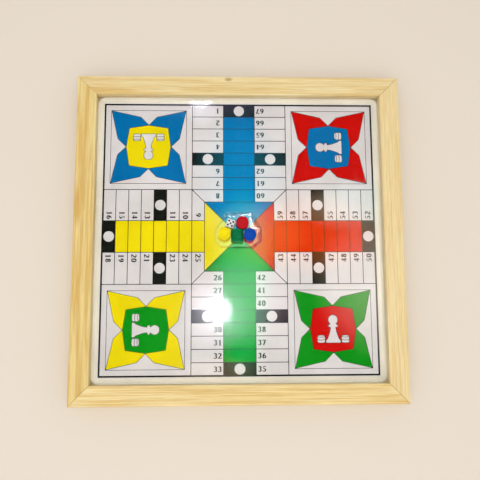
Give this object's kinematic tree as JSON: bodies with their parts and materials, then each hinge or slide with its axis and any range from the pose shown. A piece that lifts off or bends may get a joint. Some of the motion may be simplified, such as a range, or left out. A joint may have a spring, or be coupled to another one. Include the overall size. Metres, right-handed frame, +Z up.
{
  "type": "pachisi board game",
  "caption": "Square cross-and-circle race game: printed board under glass in a mitred pine frame, with coloured counters and a die in an open clear film pouch.",
  "frame": {"origin": "middle of the underside of the frame", "axes": "+Z up out of the glass, +X to the right and +Y to the far side as seen by the player for whom the lowest row of numbers reads upright"},
  "size_m": [0.4, 0.4, 0.0276],
  "materials": {
    "pine": "planed, clear satin varnish",
    "glass": "clear float glass",
    "printed_card": "printed in flat colours, matt",
    "backing_board": "brown hardboard",
    "steel": "plain steel wire and strip",
    "clear_film": "clear, creased",
    "green_plastic": "moulded",
    "blue_plastic": "moulded",
    "yellow_plastic": "moulded",
    "red_plastic": "moulded",
    "white_plastic": "moulded, black pips"
  },
  "bodies": {
    "board": {"rail_front": "pine", "rail_right": "pine", "rail_back": "pine", "rail_left": "pine", "glass_pane": "glass", "printed_card": "printed_card", "backing_board": "backing_board", "corner_nail_1": "steel", "corner_nail_2": "steel", "corner_nail_3": "steel", "corner_nail_4": "steel", "corner_nail_5": "steel", "corner_nail_6": "steel", "corner_nail_7": "steel", "corner_nail_8": "steel", "backing_brad_1": "steel", "backing_brad_2": "steel", "backing_brad_3": "steel", "backing_brad_4": "steel", "backing_brad_5": "steel", "backing_brad_6": "steel", "backing_brad_7": "steel", "backing_brad_8": "steel"},
    "pouch": {"film_pouch": "clear_film"},
    "green_counter_1": {"green_counter_1": "green_plastic"},
    "green_counter_2": {"green_counter_2": "green_plastic"},
    "green_counter_3": {"green_counter_3": "green_plastic"},
    "green_counter_4": {"green_counter_4": "green_plastic"},
    "blue_counter_1": {"blue_counter_1": "blue_plastic"},
    "blue_counter_2": {"blue_counter_2": "blue_plastic"},
    "blue_counter_3": {"blue_counter_3": "blue_plastic"},
    "blue_counter_4": {"blue_counter_4": "blue_plastic"},
    "yellow_counter_1": {"yellow_counter_1": "yellow_plastic"},
    "yellow_counter_2": {"yellow_counter_2": "yellow_plastic"},
    "yellow_counter_3": {"yellow_counter_3": "yellow_plastic"},
    "yellow_counter_4": {"yellow_counter_4": "yellow_plastic"},
    "red_counter_1": {"red_counter_1": "red_plastic"},
    "red_counter_2": {"red_counter_2": "red_plastic"},
    "red_counter_3": {"red_counter_3": "red_plastic"},
    "red_counter_4": {"red_counter_4": "red_plastic"},
    "die": {"die": "white_plastic"}
  },
  "joints": [
    {"name": "pouch_lift", "type": "slide", "parent": "board", "child": "pouch", "axis": [0, 0, 1], "range_m": [0, 0.06]},
    {"name": "green_counter_1_lift", "type": "slide", "parent": "pouch", "child": "green_counter_1", "axis": [0, 0, 1], "range_m": [0, 0.05]},
    {"name": "green_counter_2_lift", "type": "slide", "parent": "pouch", "child": "green_counter_2", "axis": [0, 0, 1], "range_m": [0, 0.05]},
    {"name": "green_counter_3_lift", "type": "slide", "parent": "pouch", "child": "green_counter_3", "axis": [0, 0, 1], "range_m": [0, 0.05]},
    {"name": "green_counter_4_lift", "type": "slide", "parent": "pouch", "child": "green_counter_4", "axis": [0, 0, 1], "range_m": [0, 0.05]},
    {"name": "blue_counter_1_lift", "type": "slide", "parent": "pouch", "child": "blue_counter_1", "axis": [0, 0, 1], "range_m": [0, 0.05]},
    {"name": "blue_counter_2_lift", "type": "slide", "parent": "blue_counter_1", "child": "blue_counter_2", "axis": [0, 0, 1], "range_m": [0, 0.05]},
    {"name": "blue_counter_3_lift", "type": "slide", "parent": "blue_counter_2", "child": "blue_counter_3", "axis": [0, 0, 1], "range_m": [0, 0.05]},
    {"name": "blue_counter_4_lift", "type": "slide", "parent": "blue_counter_3", "child": "blue_counter_4", "axis": [0, 0, 1], "range_m": [0, 0.05]},
    {"name": "yellow_counter_1_lift", "type": "slide", "parent": "pouch", "child": "yellow_counter_1", "axis": [0, 0, 1], "range_m": [0, 0.05]},
    {"name": "yellow_counter_2_lift", "type": "slide", "parent": "yellow_counter_1", "child": "yellow_counter_2", "axis": [0, 0, 1], "range_m": [0, 0.05]},
    {"name": "yellow_counter_3_lift", "type": "slide", "parent": "yellow_counter_2", "child": "yellow_counter_3", "axis": [0, 0, 1], "range_m": [0, 0.05]},
    {"name": "yellow_counter_4_lift", "type": "slide", "parent": "yellow_counter_3", "child": "yellow_counter_4", "axis": [0, 0, 1], "range_m": [0, 0.05]},
    {"name": "red_counter_1_lift", "type": "slide", "parent": "pouch", "child": "red_counter_1", "axis": [0, 0, 1], "range_m": [0, 0.05]},
    {"name": "red_counter_2_lift", "type": "slide", "parent": "red_counter_1", "child": "red_counter_2", "axis": [0, 0, 1], "range_m": [0, 0.05]},
    {"name": "red_counter_3_lift", "type": "slide", "parent": "red_counter_2", "child": "red_counter_3", "axis": [0, 0, 1], "range_m": [0, 0.05]},
    {"name": "red_counter_4_lift", "type": "slide", "parent": "red_counter_3", "child": "red_counter_4", "axis": [0, 0, 1], "range_m": [0, 0.05]},
    {"name": "die_lift", "type": "slide", "parent": "pouch", "child": "die", "axis": [0, 0, 1], "range_m": [0, 0.05]}
  ]
}
